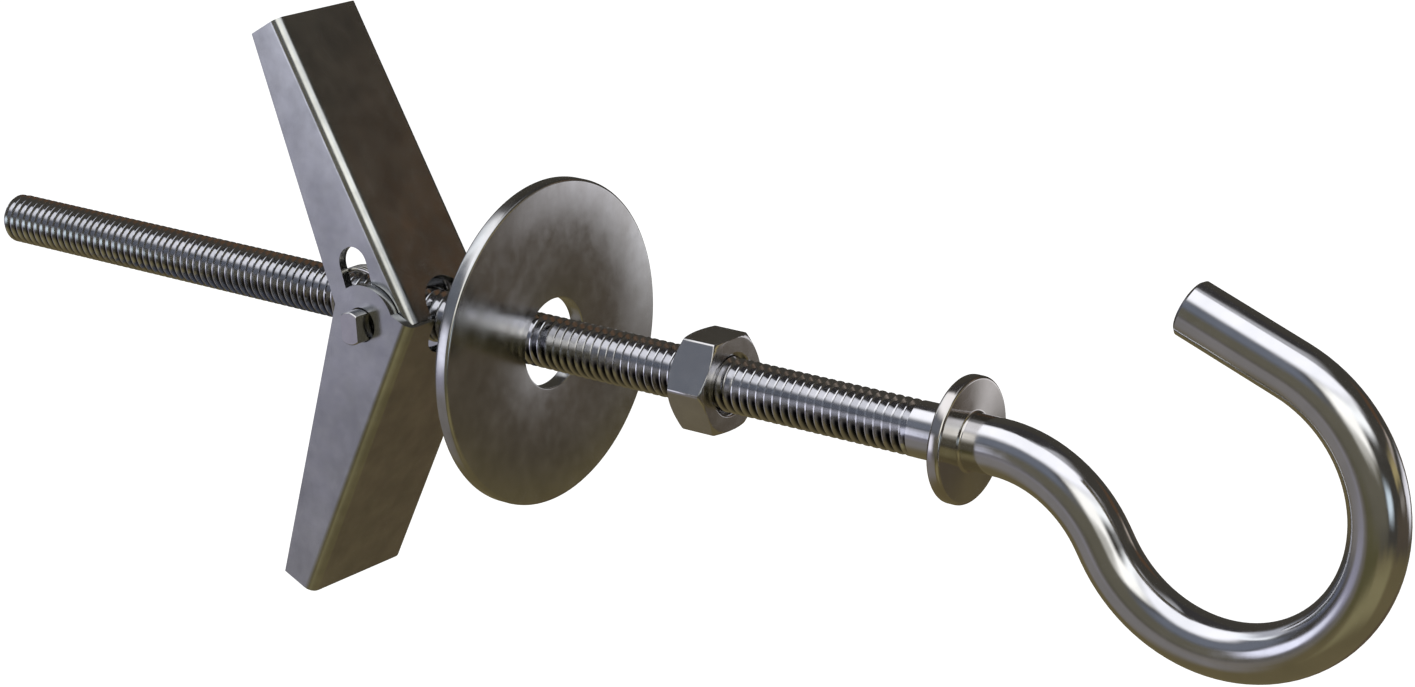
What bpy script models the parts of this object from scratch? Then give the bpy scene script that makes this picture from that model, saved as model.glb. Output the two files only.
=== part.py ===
"""Spring toggle anchor with a hook: a threaded hook bolt that carries two sprung
folding wings, a large wall washer and a hex nut.

Frame: the origin is where the bolt's axis meets the wall-side face of the large
washer. +X runs along the bolt towards the hook, +Z is up, and the wings turn
about an axis along Y. Lengths are in metres.
"""
import math

import bmesh
import bpy
from mathutils import Matrix, Vector

MM = 0.001

# Hook bolt: one length of wire, threaded from its far end and bent at the near end
ROD_D = 4.0 * MM
ROD_BACK_X = -56.1 * MM
ROD_END_CHAMFER = 0.4 * MM
SHANK_END_X = 39.32 * MM
NECK_BEND_R = 9.63 * MM
NECK_BEND_DEG = 58.4
NECK_LENGTH = 0.9 * MM
HOOK_BEND_R = 10.25 * MM
HOOK_BEND_DEG = 217.7
HOOK_TIP_LENGTH = 7.93 * MM
HOOK_TIP_CHAMFER = 0.2 * MM

# Collar pressed on the shank in front of the hook
COLLAR_X = 36.79 * MM
COLLAR_D = 9.0 * MM
COLLAR_T = 1.0 * MM
COLLAR_RIM_R = 0.25 * MM
COLLAR_HOLE_EDGE = 0.12 * MM
PRESS_GAP = 0.02 * MM

# Large washer against the wall
WASHER_D = 24.6 * MM
WASHER_T = 1.2 * MM
WASHER_HOLE_D = 6.8 * MM
WASHER_RIM_R = 0.25 * MM
WASHER_HOLE_EDGE = 0.1 * MM

# Hex nut
NUT_X = 15.74 * MM
NUT_ACROSS_FLATS = 6.85 * MM
NUT_T = 3.2 * MM
NUT_CHAMFER_DEG = 30.0
NUT_EDGE_BEVEL = 0.18 * MM
NUT_COUNTERSINK = 0.3 * MM

# Play of the pieces that turn or travel
THREAD_PLAY = 0.06 * MM
PIVOT_PLAY = 0.08 * MM
SLOT_PLAY = 0.1 * MM
WING_SIDE_PLAY = 0.08 * MM
STOP_GAP = 0.1 * MM

# Toggle nut: a cross barrel tapped for the bolt, with a pivot stub at each end
PIVOT_X = -13.05 * MM
BARREL_WALL = 0.75 * MM
BARREL_END_WALL = 0.15 * MM
BARREL_CHAMFER = 0.2 * MM
STUB_D = 2.54 * MM
STUB_PROUD = 1.35 * MM
STUB_ACROSS_FLATS = 1.54 * MM
STUB_LEAN_DEG = -5.0
STUB_END_CHAMFER = 0.08 * MM

# Wings: channels folded from sheet
SHEET_T = 0.75 * MM
BEND_INNER_R = 0.05 * MM
WING_LENGTH = 23.4 * MM
WEB_CLEARANCE = 0.6 * MM
FLANGE_TIP_DEPTH = 3.0 * MM
EAR_DROP = 2.83 * MM
EAR_R = 2.98 * MM
EAR_BACK = 0.2 * MM
NOTCH_SIDE_PLAY = 0.35 * MM
NOTCH_TOP_PLAY = 0.46 * MM
OUTER_TILT_DEG = 24.1
OUTER_WEB_END = -2.4 * MM
INNER_TILT_DEG = 31.1
INNER_WEB_END = -1.7 * MM
SLOT_RISE = 4.5 * MM
SLOT_LEAN_DEG = 12.5

# Double torsion spring between the wings
WIRE_D = 0.38 * MM
WIRE_TURN_GAP = 0.008 * MM
COIL_MEAN_R = 3.1 * MM
COIL_WHOLE_TURNS = 3
COIL_SIDE_GAP = 0.04 * MM
COIL_SEAT_GAP = 0.05 * MM
COIL_HANG_DEG = 160.0
LEG_REACH = 7.0 * MM
LEG_WEB_GAP = 0.08 * MM

# Smoothness
ROD_SIDES_RESOLUTION = 12
WIRE_SIDES_RESOLUTION = 2
ARC_STEP_DEG = 4.5
EAR_STEPS = 40
HALF_CIRCLE_STEPS = 24
SHEET_BEND_STEPS = 6
SHARP_EDGE_DEG = 30
COIL_STEPS = 32
WASHER_STEPS = 72
TURNED_STEPS = 48
CUTTER_SIDES = 48
CORNER_STEPS = 3

# Sizes that follow from those above
ROD_R = ROD_D / 2
BORE_R = ROD_R + THREAD_PLAY
WIRE_R = WIRE_D / 2
WIRE_PITCH = WIRE_D + WIRE_TURN_GAP
STUB_R = STUB_D / 2
BARREL_R = ROD_R + BARREL_WALL
BARREL_HALF = ROD_R + BARREL_END_WALL
WEB_OUT = BARREL_R + WEB_CLEARANCE + SHEET_T
WEB_IN = WEB_OUT - SHEET_T
COLLECTION = "hollow_wall_anchor"

IN_WINGS = Matrix.Translation((PIVOT_X, 0, 0))
OUTER_TILT = Matrix.Rotation(math.radians(OUTER_TILT_DEG), 4, "Y")
OUTER_FRAME = IN_WINGS @ OUTER_TILT @ Matrix.Rotation(math.pi, 4, "X")
INNER_FRAME = IN_WINGS @ Matrix.Rotation(math.radians(-INNER_TILT_DEG), 4, "Y")


def collection(name):
    """The collection of that name, made and linked to the scene if it is new."""
    found = bpy.data.collections.get(name) or bpy.data.collections.new(name)
    if name not in bpy.context.scene.collection.children:
        bpy.context.scene.collection.children.link(found)
    return found


def metal(name, colour, roughness):
    """A plated steel as a Principled material."""
    material = bpy.data.materials.new(name)
    material.use_nodes = True
    shader = material.node_tree.nodes["Principled BSDF"]
    shader.inputs["Base Color"].default_value = (*colour, 1.0)
    shader.inputs["Metallic"].default_value = 1.0
    shader.inputs["Roughness"].default_value = roughness
    material.diffuse_color = (*colour, 1.0)
    return material


def add(name, data, matrix=None, cutter=False):
    """An object from a mesh or curve, in the parts' collection or the cutters'."""
    obj = bpy.data.objects.new(name, data)
    obj.matrix_world = matrix or Matrix.Identity(4)
    collection("cutters" if cutter else COLLECTION).objects.link(obj)
    if cutter:
        obj.hide_render = True
        obj.display_type = "WIRE"
    return obj


def finish(obj, material):
    """Give a part its material and smooth round faces between sharp edges."""
    obj.data.materials.clear()
    obj.data.materials.append(material)
    if obj.type == "MESH":
        obj.data.shade_smooth()
        obj.data.set_sharp_from_angle(angle=math.radians(SHARP_EDGE_DEG))
    return obj


def boolean(target, cutter, operation="DIFFERENCE"):
    """Cut one object with another, or keep what they share."""
    modifier = target.modifiers.new(cutter.name, "BOOLEAN")
    modifier.operation = operation
    modifier.object = cutter
    modifier.solver = "EXACT"
    return target


def arc(centre, radius, start_deg, end_deg, steps):
    """Points along an arc in a plane, both ends included."""
    points = []
    for i in range(steps + 1):
        angle = math.radians(start_deg + (end_deg - start_deg) * i / steps)
        points.append((centre[0] + radius * math.cos(angle), centre[1] + radius * math.sin(angle)))
    return points


def rounded(corners, radii, steps=CORNER_STEPS):
    """A closed outline with each corner replaced by a tangent arc of its radius."""
    points = []
    count = len(corners)
    for i, radius in enumerate(radii):
        here = Vector(corners[i])
        if radius <= 0:
            points.append(tuple(here))
            continue
        back = (Vector(corners[i - 1]) - here).normalized()
        ahead = (Vector(corners[(i + 1) % count]) - here).normalized()
        half = back.angle(ahead) / 2
        centre = here + (back + ahead).normalized() * (radius / math.sin(half))
        start = here + back * (radius / math.tan(half)) - centre
        end = here + ahead * (radius / math.tan(half)) - centre
        sweep = start.angle_signed(end)
        for k in range(steps + 1):
            points.append(tuple(centre + Matrix.Rotation(-sweep * k / steps, 2) @ start))
    return points


def turned(name, outline, matrix, closed=True, cutter=False, steps=TURNED_STEPS):
    """Turn an outline of (radius, height) points about Z, then place it.

    The outline runs down its outer side, so that the faces point out."""
    mesh = bpy.data.meshes.new(name)
    edges = [(i, i + 1) for i in range(len(outline) - 1)]
    if closed:
        edges.append((len(outline) - 1, 0))
    mesh.from_pydata([(r, 0, h) for r, h in outline], edges, [])
    obj = add(name, mesh, matrix, cutter)
    screw = obj.modifiers.new("turn", "SCREW")
    screw.axis = "Z"
    screw.steps = steps
    screw.render_steps = steps
    screw.use_merge_vertices = True
    screw.merge_threshold = 1e-7
    screw.use_smooth_shade = True
    return obj


def plate(name, outline, depth, matrix, cutter=False):
    """A flat outline made as thick as depth, half to each side of its plane."""
    curve = bpy.data.curves.new(name, "CURVE")
    curve.dimensions = "2D"
    curve.fill_mode = "BOTH"
    curve.extrude = depth / 2
    spline = curve.splines.new("POLY")
    spline.points.add(len(outline) - 1)
    for point, (x, y) in zip(spline.points, outline):
        point.co = (x, y, 0, 1)
    spline.use_cyclic_u = True
    return as_mesh(add(name, curve, matrix, cutter))


def as_mesh(curve_object):
    """The welded mesh of a curve, as an object in the same place."""
    name = curve_object.name
    cutter = curve_object.hide_render
    matrix = curve_object.matrix_world.copy()
    bpy.context.view_layer.update()
    evaluated = curve_object.evaluated_get(bpy.context.evaluated_depsgraph_get())
    mesh = bpy.data.meshes.new_from_object(evaluated)
    bpy.data.objects.remove(curve_object)
    work = bmesh.new()
    work.from_mesh(mesh)
    bmesh.ops.remove_doubles(work, verts=work.verts, dist=1e-7)
    bmesh.ops.recalc_face_normals(work, faces=work.faces)
    work.to_mesh(mesh)
    work.free()
    mesh.name = name
    return add(name, mesh, matrix, cutter)


def rod_cutter(name, radius, length, matrix):
    """A round cutter along Z of its matrix, centred on it."""
    mesh = bpy.data.meshes.new(name)
    work = bmesh.new()
    bmesh.ops.create_cone(
        work, cap_ends=True, segments=CUTTER_SIDES, radius1=radius, radius2=radius, depth=length
    )
    work.to_mesh(mesh)
    work.free()
    return add(name, mesh, matrix, cutter=True)


def box_cutter(name, low, high, matrix):
    """A box cutter between two corners."""
    mesh = bpy.data.meshes.new(name)
    work = bmesh.new()
    bmesh.ops.create_cube(work, size=1.0)
    for vert in work.verts:
        vert.co = [a + (b - a) * (c + 0.5) for a, b, c in zip(low, high, vert.co)]
    work.to_mesh(mesh)
    work.free()
    return add(name, mesh, matrix, cutter=True)


def wire(name, points, radius, resolution, narrow=()):
    """A round wire through points. narrow maps an index to its share of the radius."""
    curve = bpy.data.curves.new(name, "CURVE")
    curve.dimensions = "3D"
    curve.bevel_depth = radius
    curve.bevel_resolution = resolution
    curve.use_fill_caps = True
    curve.twist_mode = "MINIMUM"
    spline = curve.splines.new("POLY")
    spline.points.add(len(points) - 1)
    for point, place in zip(spline.points, points):
        point.co = (*place, 1)
    for index, share in dict(narrow).items():
        spline.points[index].radius = share
    return add(name, curve)


def along_x(x):
    """A frame whose Z axis lies along the bolt, at that distance from the wall."""
    return Matrix.Translation((x, 0, 0)) @ Matrix.Rotation(math.pi / 2, 4, "Y")


def bend(start, heading_deg, radius, turn_deg):
    """Points of a bend in the XZ plane after start, and the heading it ends at."""
    side = math.copysign(1.0, turn_deg)
    normal = math.radians(heading_deg + side * 90)
    centre = (start[0] + radius * math.cos(normal), start[1] + radius * math.sin(normal))
    steps = math.ceil(abs(turn_deg) / ARC_STEP_DEG)
    from_deg = heading_deg - side * 90
    points = arc(centre, radius, from_deg, from_deg + turn_deg, steps)
    return points[1:], heading_deg + turn_deg


def ahead(start, heading_deg, length):
    """The point a length further on from start."""
    angle = math.radians(heading_deg)
    return (start[0] + length * math.cos(angle), start[1] + length * math.sin(angle))


def hook_bolt(material):
    """The wire from its far end through the neck's bend and round the hook."""
    path = [(ROD_BACK_X, 0.0), (ROD_BACK_X + ROD_END_CHAMFER, 0.0), (SHANK_END_X, 0.0)]
    neck, heading = bend(path[-1], 0.0, NECK_BEND_R, -NECK_BEND_DEG)
    path += neck
    path.append(ahead(path[-1], heading, NECK_LENGTH))
    hook, heading = bend(path[-1], heading, HOOK_BEND_R, HOOK_BEND_DEG)
    path += hook
    path.append(ahead(path[-1], heading, HOOK_TIP_LENGTH - HOOK_TIP_CHAMFER))
    path.append(ahead(path[-1], heading, HOOK_TIP_CHAMFER))
    narrow = {0: 1 - ROD_END_CHAMFER / ROD_R, len(path) - 1: 1 - HOOK_TIP_CHAMFER / ROD_R}
    points = [(x, 0.0, z) for x, z in path]
    return finish(wire("hook_bolt", points, ROD_R, ROD_SIDES_RESOLUTION, narrow), material)


def ring_outline(inner_r, outer_r, thickness, rim_r, hole_edge):
    """A washer's section, with rounded rim and eased hole."""
    half = thickness / 2
    corners = [(inner_r, half), (outer_r, half), (outer_r, -half), (inner_r, -half)]
    rim = rounded(corners, [0, rim_r, rim_r, 0])[1:-1]
    eased = [(inner_r, hole_edge - half), (inner_r, half - hole_edge), (inner_r + hole_edge, half)]
    return rim + [(inner_r + hole_edge, -half)] + eased


def collar(material):
    outline = ring_outline(ROD_R + PRESS_GAP, COLLAR_D / 2, COLLAR_T, COLLAR_RIM_R, COLLAR_HOLE_EDGE)
    return finish(turned("collar", outline, along_x(COLLAR_X)), material)


def large_washer(material):
    outline = ring_outline(WASHER_HOLE_D / 2, WASHER_D / 2, WASHER_T, WASHER_RIM_R, WASHER_HOLE_EDGE)
    washer = turned("large_washer", outline, along_x(WASHER_T / 2), steps=WASHER_STEPS)
    return finish(washer, material)


def hex_nut(material):
    """A hexagonal prism with both faces chamfered and a countersunk bore."""
    place = along_x(NUT_X)
    corner_r = NUT_ACROSS_FLATS / math.sqrt(3)
    mesh = bpy.data.meshes.new("hex_nut")
    work = bmesh.new()
    bmesh.ops.create_cone(
        work, cap_ends=True, segments=6, radius1=corner_r, radius2=corner_r, depth=NUT_T
    )
    upright = [e for e in work.edges if abs(e.verts[0].co.z - e.verts[1].co.z) > NUT_T / 2]
    bmesh.ops.bevel(
        work, geom=upright, offset=NUT_EDGE_BEVEL, segments=2, profile=0.5, affect="EDGES"
    )
    work.to_mesh(mesh)
    work.free()
    nut = add("hex_nut", mesh, place)

    flat_r = NUT_ACROSS_FLATS / 2
    drop = (corner_r - flat_r) * math.tan(math.radians(NUT_CHAMFER_DEG))
    half = NUT_T / 2
    dome = [(0, half), (flat_r, half), (corner_r, half - drop)]
    dome += [(corner_r, drop - half), (flat_r, -half), (0, -half)]
    boolean(nut, turned("nut_chamfers", dome, place, closed=False, cutter=True), "INTERSECT")

    wide = BORE_R + NUT_COUNTERSINK
    past = NUT_T
    bore = [(0, past), (wide, past), (wide, half), (BORE_R, half - NUT_COUNTERSINK)]
    bore += [(BORE_R, NUT_COUNTERSINK - half), (wide, -half), (wide, -past), (0, -past)]
    boolean(nut, turned("nut_bore", bore, place, closed=False, cutter=True))
    return finish(nut, material)


def coil_centre():
    """Where the coils hang: their inside rests on the stub's near side."""
    shift = COIL_MEAN_R - WIRE_R - STUB_R - COIL_SEAT_GAP
    angle = math.radians(COIL_HANG_DEG)
    return Vector((PIVOT_X + shift * math.cos(angle), shift * math.sin(angle)))


def leg(frame):
    """Where a leg leaves the coil, as an angle, and the point it reaches on a web.

    Both lie in the XZ plane; frame is the wing's."""
    tip = frame @ Vector((WEB_IN - WIRE_R - LEG_WEB_GAP, 0, LEG_REACH))
    reach = Vector((tip.x, tip.z))
    away = reach - coil_centre()
    opening = math.acos(COIL_MEAN_R / away.length)
    up = math.copysign(1.0, away.y)
    return math.atan2(away.y, away.x) - up * opening, reach


def coil_turns():
    """Turns of each coil, from the angle its upper leg leaves to the lower leg's."""
    upper, _ = leg(INNER_FRAME)
    lower, _ = leg(OUTER_FRAME)
    return COIL_WHOLE_TURNS + (upper - lower) / math.tau


def inner_half_width():
    """Half the inner wing's width: the barrel, a coil and the sheet side by side."""
    coil = coil_turns() * WIRE_PITCH + WIRE_D
    return BARREL_HALF + COIL_SIDE_GAP + coil + COIL_SIDE_GAP + SHEET_T


def outer_half_width():
    """Half the outer wing's width: its flanges run outside the inner wing's."""
    return inner_half_width() + WING_SIDE_PLAY + SHEET_T


def toggle_nut(material):
    """The cross barrel and its stubs, turned about Y, bored along X."""
    place = IN_WINGS @ Matrix.Rotation(-math.pi / 2, 4, "X")
    stub_end = outer_half_width() + STUB_PROUD
    upper = [
        (0, stub_end),
        (STUB_R - STUB_END_CHAMFER, stub_end),
        (STUB_R, stub_end - STUB_END_CHAMFER),
        (STUB_R, BARREL_HALF),
        (BARREL_R - BARREL_CHAMFER, BARREL_HALF),
        (BARREL_R, BARREL_HALF - BARREL_CHAMFER),
    ]
    lower = [(r, -h) for r, h in reversed(upper)]
    nut = turned("toggle_nut", upper + lower, place, closed=False)
    boolean(nut, rod_cutter("toggle_bore", BORE_R, 4 * BARREL_R, along_x(PIVOT_X)))
    flat_start = inner_half_width() + WING_SIDE_PLAY / 2
    lean = IN_WINGS @ Matrix.Rotation(math.radians(STUB_LEAN_DEG), 4, "Y")
    for end in (-1, 1):
        for face in (-1, 1):
            ys = sorted((end * flat_start, end * 2 * stub_end))
            xs = sorted((face * STUB_ACROSS_FLATS / 2, face * STUB_D))
            low, high = (xs[0], ys[0], -STUB_D), (xs[1], ys[1], STUB_D)
            name = f"stub_flat_{'near' if end < 0 else 'far'}_{'front' if face > 0 else 'back'}"
            boolean(nut, box_cutter(name, low, high, lean))
    return finish(nut, material)


def wing_outline(web_end, ear_r, ear_back):
    """A wing's side view: (out from the pivot, along the wing) points.

    The flange tapers from the ear, a round end tangent to it, to the tip."""
    slope = (WEB_OUT + EAR_DROP - FLANGE_TIP_DEPTH) / WING_LENGTH
    tip_edge = WEB_OUT - FLANGE_TIP_DEPTH
    lean = math.degrees(math.atan(slope))
    ear_out = ear_r / math.cos(math.radians(lean)) - EAR_DROP - slope * ear_back
    top = (web_end + ear_back) / ear_r
    top_deg = math.degrees(math.asin(top)) + 360
    ear = arc((ear_out, -ear_back), ear_r, 180 - lean, top_deg, EAR_STEPS)
    square = [(WEB_OUT, web_end), (WEB_OUT, WING_LENGTH), (tip_edge, WING_LENGTH)]
    return square + ear


def channel_section(half_width):
    """The folded sheet's section: (out from the pivot, across) points."""
    outer_r = BEND_INNER_R + SHEET_T
    deep = -2 * EAR_R
    inside = half_width - SHEET_T
    corners = [
        (deep, -half_width),
        (WEB_OUT, -half_width),
        (WEB_OUT, half_width),
        (deep, half_width),
        (deep, inside),
        (WEB_IN, inside),
        (WEB_IN, -inside),
        (deep, -inside),
    ]
    radii = [0, outer_r, outer_r, 0, 0, BEND_INNER_R, BEND_INNER_R, 0]
    return rounded(corners, radii, SHEET_BEND_STEPS)


def notch_outline():
    """The web's notch for the bolt, open at the web's end: (across, along) points.

    Its round top clears the bolt where the more upright wing's web meets it."""
    tilt = math.radians(OUTER_TILT_DEG)
    top = (ROD_R + NOTCH_TOP_PLAY - WEB_IN * math.sin(tilt)) / math.cos(tilt)
    half = ROD_R + NOTCH_SIDE_PLAY
    centre = top - half
    round_top = arc((0, centre), half, 0, 180, HALF_CIRCLE_STEPS)
    return round_top + [(-half, -2 * EAR_R), (half, -2 * EAR_R)]


def wing(name, frame, half_width, outline):
    """A channel cut to its side view, with the bolt's notch in its web."""
    section_place = frame @ Matrix.Translation((0, 0, WING_LENGTH / 2))
    obj = plate(name, channel_section(half_width), 2 * WING_LENGTH, section_place)
    side_on = frame @ Matrix(((1, 0, 0, 0), (0, 0, -1, 0), (0, 1, 0, 0), (0, 0, 0, 1)))
    boolean(obj, plate(f"{name}_side", outline, 4 * half_width, side_on, cutter=True), "INTERSECT")
    face_on = frame @ Matrix(((0, 0, 1, WEB_OUT), (1, 0, 0, 0), (0, 1, 0, 0), (0, 0, 0, 1)))
    boolean(obj, plate(f"{name}_notch", notch_outline(), 3 * SHEET_T, face_on, cutter=True))
    return obj


def outer_wing(material):
    """The wing whose ears run outside: round pivot holes, and a stop for the other."""
    outline = wing_outline(OUTER_WEB_END, EAR_R, EAR_BACK)
    obj = wing("outer_wing", OUTER_FRAME, outer_half_width(), outline)
    hole_place = OUTER_FRAME @ Matrix.Rotation(math.pi / 2, 4, "X")
    hole_r = STUB_R + PIVOT_PLAY
    boolean(obj, rod_cutter("outer_pivot_holes", hole_r, 4 * outer_half_width(), hole_place))
    side = inner_half_width() + WING_SIDE_PLAY / 2
    low = (WEB_IN - STOP_GAP, -side, INNER_WEB_END - STOP_GAP)
    high = (WEB_OUT + STOP_GAP, side, 0)
    boolean(obj, box_cutter("outer_wing_stop", low, high, INNER_FRAME))
    return finish(obj, material)


def inner_wing(material):
    """The wing between the ears, with a long slot for the pivot stub."""
    slope = (WEB_OUT + EAR_DROP - FLANGE_TIP_DEPTH) / WING_LENGTH
    ear_r = EAR_DROP * math.cos(math.atan(slope))
    outline = wing_outline(INNER_WEB_END, ear_r, 0.0)
    obj = wing("inner_wing", INNER_FRAME, inner_half_width(), outline)
    half = STUB_R + SLOT_PLAY
    slot = arc((0, SLOT_RISE), half, 0, 180, HALF_CIRCLE_STEPS)
    slot += arc((0, 0), half, 180, 360, HALF_CIRCLE_STEPS)
    lean = Matrix.Rotation(math.radians(SLOT_LEAN_DEG), 4, "Y")
    side_on = INNER_FRAME @ lean @ Matrix(((1, 0, 0, 0), (0, 0, -1, 0), (0, 1, 0, 0), (0, 0, 0, 1)))
    boolean(obj, plate("inner_pivot_slots", slot, 4 * inner_half_width(), side_on, cutter=True))
    return finish(obj, material)


def spring_half(side):
    """Half the spring: the lower leg's tip, the coil, and the upper leg's top.

    side is -1 towards -Y and 1 towards +Y."""
    upper_deg, upper_tip = leg(INNER_FRAME)
    lower_deg, lower_tip = leg(OUTER_FRAME)
    centre = coil_centre()
    turns = coil_turns()
    y_out = inner_half_width() - SHEET_T - COIL_SIDE_GAP - WIRE_R
    y_in = y_out - turns * WIRE_PITCH
    steps = round(turns * COIL_STEPS)
    points = [(lower_tip.x, side * y_out, lower_tip.y)]
    for i in range(steps + 1):
        angle = lower_deg + math.tau * turns * i / steps
        x = centre.x + COIL_MEAN_R * math.cos(angle)
        z = centre.y + COIL_MEAN_R * math.sin(angle)
        points.append((x, side * (y_out + (y_in - y_out) * i / steps), z))
    points.append((upper_tip.x, side * y_in, upper_tip.y))
    return points


def torsion_spring(material):
    """One wire: a leg, a coil, the bridge under the upper web, a coil, a leg."""
    points = spring_half(-1) + list(reversed(spring_half(1)))
    return finish(wire("torsion_spring", points, WIRE_R, WIRE_SIDES_RESOLUTION), material)


def main():
    for obj in list(bpy.data.objects):
        bpy.data.objects.remove(obj)
    zinc = metal("zinc_plated_steel", (0.45, 0.43, 0.40), 0.28)
    polished = metal("nickel_plated_steel", (0.52, 0.51, 0.50), 0.2)
    spring_steel = metal("spring_steel", (0.50, 0.48, 0.45), 0.25)
    hook_bolt(polished)
    collar(polished)
    hex_nut(zinc)
    large_washer(zinc)
    toggle_nut(zinc)
    outer_wing(zinc)
    inner_wing(zinc)
    torsion_spring(spring_steel)


main()
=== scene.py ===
# %% [markdown]
# # A spring toggle anchor with a hook
#
# A hook bolt carries a collar, a hex nut, a large wall washer and, far behind, a toggle: two folded
# sheet-metal wings that a torsion spring keeps open. Everything is bright steel, so this lesson is
# about two things: modelling small machined parts cleanly, and lighting bare metal.
#
# The frame holds the finished construction. Each step below either finishes a copy of one of its
# parts or models a finer one in the same place, in metres.

# %% Load the frame
import math

import bmesh
import bpy
from mathutils import Matrix, Vector


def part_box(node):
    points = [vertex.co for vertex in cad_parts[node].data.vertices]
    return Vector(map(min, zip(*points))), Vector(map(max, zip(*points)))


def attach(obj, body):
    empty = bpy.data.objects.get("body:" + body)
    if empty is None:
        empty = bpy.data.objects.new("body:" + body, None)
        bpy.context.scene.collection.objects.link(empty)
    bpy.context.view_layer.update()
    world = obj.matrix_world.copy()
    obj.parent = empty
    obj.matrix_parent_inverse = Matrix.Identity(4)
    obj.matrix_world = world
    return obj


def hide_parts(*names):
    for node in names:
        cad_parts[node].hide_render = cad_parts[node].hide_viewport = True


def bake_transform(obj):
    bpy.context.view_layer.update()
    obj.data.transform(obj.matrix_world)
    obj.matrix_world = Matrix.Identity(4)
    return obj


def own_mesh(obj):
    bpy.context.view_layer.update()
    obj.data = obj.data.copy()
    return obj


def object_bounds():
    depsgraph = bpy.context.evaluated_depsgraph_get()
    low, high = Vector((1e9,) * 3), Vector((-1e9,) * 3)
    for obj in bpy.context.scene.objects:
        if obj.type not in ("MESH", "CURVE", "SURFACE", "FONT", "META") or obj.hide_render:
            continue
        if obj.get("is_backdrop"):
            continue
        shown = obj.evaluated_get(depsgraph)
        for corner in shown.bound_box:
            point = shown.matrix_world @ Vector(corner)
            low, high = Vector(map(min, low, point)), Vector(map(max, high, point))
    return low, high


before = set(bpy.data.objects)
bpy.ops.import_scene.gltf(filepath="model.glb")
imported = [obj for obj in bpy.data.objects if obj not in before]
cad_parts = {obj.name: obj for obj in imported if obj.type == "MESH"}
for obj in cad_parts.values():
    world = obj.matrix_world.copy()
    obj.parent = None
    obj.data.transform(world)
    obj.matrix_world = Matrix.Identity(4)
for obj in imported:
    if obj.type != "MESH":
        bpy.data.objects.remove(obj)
cad_low, cad_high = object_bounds()

MM = 0.001
size_mm = (cad_high - cad_low) / MM
print(f"frame: {len(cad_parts)} parts, {size_mm.x:.1f} x {size_mm.y:.1f} x {size_mm.z:.1f} mm")

# %% [markdown]
# ## Camera
#
# The camera comes first, because it decides which surfaces need the most care. It stands in front
# of the hook, to one side and a little above, and looks back along the bolt. It could be placed by
# hand, but a target, a distance and two angles are easier to read and to change, and the small roll
# is a turn about its own line of sight.

# %% Camera
CAMERA_TARGET = Vector((10.0, 7.1, -0.1)) * MM
CAMERA_DISTANCE = 238.9 * MM
CAMERA_AZIMUTH = math.radians(35.67)
CAMERA_ELEVATION = math.radians(17.42)
CAMERA_ROLL = math.radians(0.68)
CAMERA_LENS = 82.07
CAMERA_SENSOR = 36.0

bpy.ops.object.camera_add()
camera = bpy.context.object
camera.name = "camera"
back = Vector((
    math.sin(CAMERA_AZIMUTH) * math.cos(CAMERA_ELEVATION),
    -math.cos(CAMERA_AZIMUTH) * math.cos(CAMERA_ELEVATION),
    math.sin(CAMERA_ELEVATION),
))
camera.location = CAMERA_TARGET + back * CAMERA_DISTANCE
level = (-back).to_track_quat("-Z", "Y").to_matrix()
camera.rotation_euler = (level @ Matrix.Rotation(CAMERA_ROLL, 3, "Z")).to_euler()
camera.data.lens = CAMERA_LENS
camera.data.sensor_width = CAMERA_SENSOR
camera.data.sensor_fit = "HORIZONTAL"
camera.data.clip_start = 5 * MM
camera.data.clip_end = 10.0
bpy.context.scene.camera = camera
print("camera at", [round(x / MM, 1) for x in camera.location], "mm")

# %% [markdown]
# ## Small helpers for modelling
#
# Operators act on whatever is selected, and the frame arrives selected, so each piece starts from
# nothing selected. A profile is drawn the way it would be by hand: one vertex, extruded from point
# to point. In edit mode, parts are picked by a test on their place, never by a number in a list.

# %% Helpers for modelling
SAME_POINT = 0.0005 * MM


def only(obj):
    """Select one object alone and make it the active one."""
    bpy.ops.object.select_all(action="DESELECT")
    obj.select_set(True)
    bpy.context.view_layer.objects.active = obj
    return obj


def named(name):
    """Name the object that was just added, and give it its place in its mesh."""
    obj = bpy.context.object
    bpy.ops.object.transform_apply(location=True, rotation=True, scale=True)
    obj.name = name
    obj.data.name = name
    return only(obj)


def draw(name, points):
    """A chain of edges through points: a vertex, extruded from each point to the next."""
    bpy.ops.object.select_all(action="DESELECT")
    bpy.ops.mesh.primitive_plane_add(size=MM, location=points[0])
    line = named(name)
    bpy.ops.object.mode_set(mode="EDIT")
    bpy.ops.mesh.select_mode(type="VERT")
    bpy.ops.mesh.merge(type="CENTER")
    for here, there in zip(points, points[1:]):
        step = Vector(there) - Vector(here)
        bpy.ops.mesh.extrude_vertices_move(TRANSFORM_OT_translate={"value": step})
    bpy.ops.object.mode_set(mode="OBJECT")
    return line


def pick(obj, kind, test):
    """In edit mode, select only the vertices, edges or faces that pass a test."""
    bpy.ops.mesh.select_mode(type={"verts": "VERT", "edges": "EDGE", "faces": "FACE"}[kind])
    bpy.ops.mesh.select_all(action="DESELECT")
    work = bmesh.from_edit_mesh(obj.data)
    count = 0
    for element in getattr(work, kind):
        if test(element):
            element.select_set(True)
            count += 1
    work.select_flush_mode()
    bmesh.update_edit_mesh(obj.data)
    return count


def apply(obj, kind, **settings):
    """Add a modifier with these settings and apply it at once."""
    only(obj)
    modifier = obj.modifiers.new(kind.lower(), kind)
    for key, value in settings.items():
        setattr(modifier, key, value)
    bpy.ops.object.modifier_apply(modifier=modifier.name)
    return obj


def triangles(obj):
    """How many triangles the mesh holds."""
    return sum(len(face.vertices) - 2 for face in obj.data.polygons)


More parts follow.
